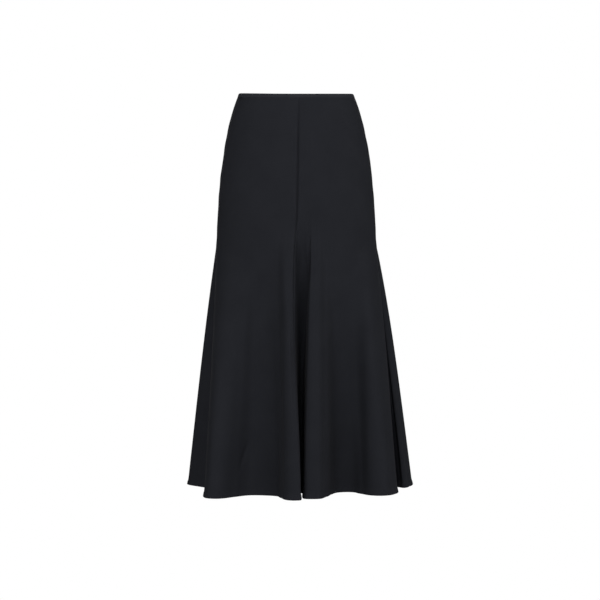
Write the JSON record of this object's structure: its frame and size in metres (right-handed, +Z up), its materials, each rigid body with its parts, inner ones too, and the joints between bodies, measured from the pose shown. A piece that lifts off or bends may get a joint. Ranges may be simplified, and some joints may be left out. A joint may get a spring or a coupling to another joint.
{
  "type": "mermaid fishtail skirt",
  "caption": "Midi fishtail skirt, fitted from waist to thigh and flared below into soft flutes at its seams, hollow as worn, with a concealed zip at the back.",
  "frame": {"origin": "centre of the waist opening, level with its side edges", "axes": "+Z up along the wearer, -Y to the wearer's front, +X to the wearer's left"},
  "size_m": [0.4866, 0.4585, 0.8335],
  "materials": {
    "crepe": "matte, heavy black crepe",
    "zip_tape": "matte black woven tape",
    "zip_metal": "satin black paint"
  },
  "bodies": {
    "root": {"front_gore_left": "crepe", "front_gore_right": "crepe", "back_gore_left": "crepe", "back_gore_right": "crepe", "waist_edging": "crepe", "zip_tape_left": "zip_tape", "zip_tape_right": "zip_tape", "zip_slider": "zip_metal"},
    "pull": {"zip_pull": "zip_metal"}
  },
  "joints": [
    {"name": "pull_swing", "type": "hinge", "parent": "root", "child": "pull", "pos_m": [0, 0.09885, -0.01671], "axis": [1, 0, 0], "range_deg": [0, 160]}
  ]
}
